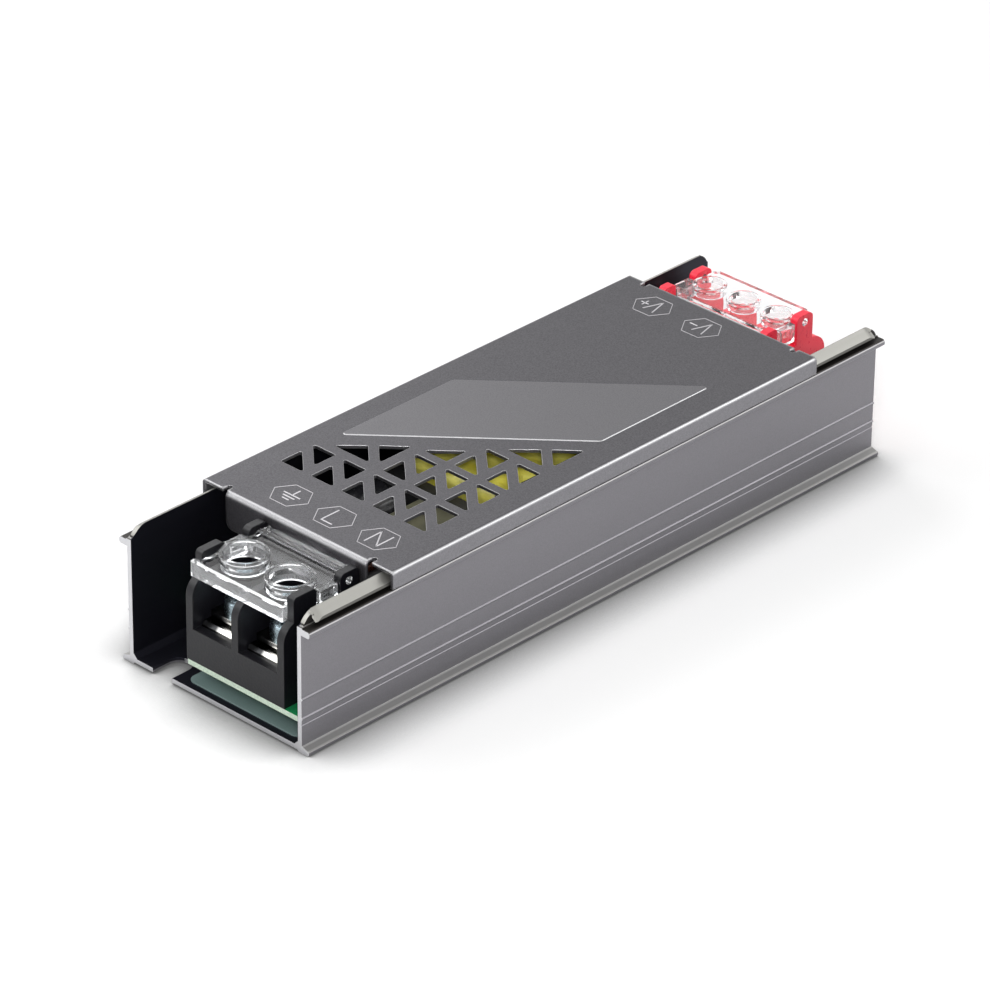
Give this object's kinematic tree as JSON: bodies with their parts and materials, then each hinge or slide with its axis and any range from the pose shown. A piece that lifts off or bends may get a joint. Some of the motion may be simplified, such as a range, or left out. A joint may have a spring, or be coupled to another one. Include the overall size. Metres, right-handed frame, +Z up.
{
  "type": "led power supply",
  "caption": "Slim LED power supply: extruded aluminium channel, vented sheet cover with a slanted vent field, and a screw terminal block with a clear hinged lid at each end.",
  "frame": {"origin": "centre of the footprint, on the plane of the two foot strips", "axes": "+Y along the case from the mains input end to the output end, +Z up, +X across towards the right wall"},
  "size_m": [0.046, 0.146, 0.0278],
  "materials": {
    "anodised_aluminium": "satin anodised",
    "dark_sheet_metal": "fine dark metallic",
    "insulating_sheet": "matt",
    "board_resin": "satin",
    "zinc_steel": "blue zinc",
    "nickel_plate": "bright nickel",
    "brass_standoff": "turned",
    "black_moulding": "moulded",
    "red_moulding": "moulded",
    "clear_moulding": "clear",
    "capacitor_sleeve": "shrink sleeve",
    "fuse_case": "moulded",
    "blue_resin": "dipped",
    "dark_resin": "dipped",
    "ferrite": "pressed",
    "copper_wire": "enamelled",
    "film_case": "moulded",
    "yellow_tape": "wrapped tape",
    "bobbin_black": "moulded",
    "black_epoxy": "moulded",
    "thermal_pad": "matt",
    "spring_steel": "spring temper"
  },
  "bodies": {
    "case": {"base_channel": "anodised_aluminium", "board_screws": "zinc_steel", "board_standoffs": "brass_standoff", "bridge_rectifier": "black_epoxy", "bulk_capacitor": "capacitor_sleeve", "choke_core": "ferrite", "choke_winding_1": "copper_wire", "choke_winding_2": "copper_wire", "circuit_board": "board_resin", "control_chip": "black_epoxy", "filter_capacitor": "film_case", "fuse": "fuse_case", "inductor_core": "ferrite", "inductor_winding": "copper_wire", "input_contact_1": "nickel_plate", "input_contact_2": "nickel_plate", "input_terminal_body": "black_moulding", "inrush_limiter": "dark_resin", "insulation_sheet": "insulating_sheet", "optocoupler": "black_epoxy", "output_capacitor_1": "capacitor_sleeve", "output_capacitor_2": "capacitor_sleeve", "output_capacitor_3": "capacitor_sleeve", "output_contact_1": "nickel_plate", "output_contact_2": "nickel_plate", "output_contact_3": "nickel_plate", "output_rectifier": "black_epoxy", "output_rectifier_clip": "spring_steel", "output_rectifier_pad": "thermal_pad", "output_terminal_body": "red_moulding", "safety_capacitor": "blue_resin", "surge_absorber": "blue_resin", "switch_transistor": "black_epoxy", "switch_transistor_clip": "spring_steel", "switch_transistor_pad": "thermal_pad", "top_cover": "dark_sheet_metal", "transformer_bobbin": "bobbin_black", "transformer_core_left": "ferrite", "transformer_core_right": "ferrite", "transformer_winding": "yellow_tape"},
    "input_lid": {"input_terminal_lid": "clear_moulding"},
    "output_lid": {"output_terminal_lid": "clear_moulding"},
    "input_clamp_1": {"input_clamp_1": "nickel_plate"},
    "input_screw_1": {"input_screw_1": "zinc_steel"},
    "input_clamp_2": {"input_clamp_2": "nickel_plate"},
    "input_screw_2": {"input_screw_2": "zinc_steel"},
    "output_clamp_1": {"output_clamp_1": "nickel_plate"},
    "output_screw_1": {"output_screw_1": "zinc_steel"},
    "output_clamp_2": {"output_clamp_2": "nickel_plate"},
    "output_screw_2": {"output_screw_2": "zinc_steel"},
    "output_clamp_3": {"output_clamp_3": "nickel_plate"},
    "output_screw_3": {"output_screw_3": "zinc_steel"}
  },
  "joints": [
    {"name": "input_lid_hinge", "type": "hinge", "parent": "case", "child": "input_lid", "pos_m": [0, -0.0566, 0.0246], "axis": [-1, 0, 0], "range_deg": [0, 110]},
    {"name": "output_lid_hinge", "type": "hinge", "parent": "case", "child": "output_lid", "pos_m": [0, 0.0663, 0.0253], "axis": [-1, 0, 0], "range_deg": [0, 100]},
    {"name": "input_screw_1_turn", "type": "hinge", "parent": "input_clamp_1", "child": "input_screw_1", "pos_m": [-0.00145, -0.0642, 0.0155], "axis": [0, 0, 1], "range_deg": [-259, 1133]},
    {"name": "input_clamp_1_lift", "type": "slide", "parent": "case", "child": "input_clamp_1", "axis": [0, 0, 1], "range_m": [-0.0005, 0.0022]},
    {"name": "input_screw_2_turn", "type": "hinge", "parent": "input_clamp_2", "child": "input_screw_2", "pos_m": [0.00955, -0.0642, 0.0155], "axis": [0, 0, 1], "range_deg": [-259, 1133]},
    {"name": "input_clamp_2_lift", "type": "slide", "parent": "case", "child": "input_clamp_2", "axis": [0, 0, 1], "range_m": [-0.0005, 0.0022]},
    {"name": "output_screw_1_turn", "type": "hinge", "parent": "output_clamp_1", "child": "output_screw_1", "pos_m": [-0.01175, 0.0642, 0.0155], "axis": [0, 0, 1], "range_deg": [-362, 1586]},
    {"name": "output_clamp_1_lift", "type": "slide", "parent": "case", "child": "output_clamp_1", "axis": [0, 0, 1], "range_m": [-0.0005, 0.0022]},
    {"name": "output_screw_2_turn", "type": "hinge", "parent": "output_clamp_2", "child": "output_screw_2", "pos_m": [-0.0035, 0.0642, 0.0155], "axis": [0, 0, 1], "range_deg": [-362, 1586]},
    {"name": "output_clamp_2_lift", "type": "slide", "parent": "case", "child": "output_clamp_2", "axis": [0, 0, 1], "range_m": [-0.0005, 0.0022]},
    {"name": "output_screw_3_turn", "type": "hinge", "parent": "output_clamp_3", "child": "output_screw_3", "pos_m": [0.00475, 0.0642, 0.0155], "axis": [0, 0, 1], "range_deg": [-362, 1586]},
    {"name": "output_clamp_3_lift", "type": "slide", "parent": "case", "child": "output_clamp_3", "axis": [0, 0, 1], "range_m": [-0.0005, 0.0022]}
  ],
  "couplings": [
    {"joint": "input_screw_1_turn", "follows": "input_clamp_1_lift", "rad_per_m": 8976},
    {"joint": "input_screw_2_turn", "follows": "input_clamp_2_lift", "rad_per_m": 8976},
    {"joint": "output_screw_1_turn", "follows": "output_clamp_1_lift", "rad_per_m": 12566},
    {"joint": "output_screw_2_turn", "follows": "output_clamp_2_lift", "rad_per_m": 12566},
    {"joint": "output_screw_3_turn", "follows": "output_clamp_3_lift", "rad_per_m": 12566}
  ]
}
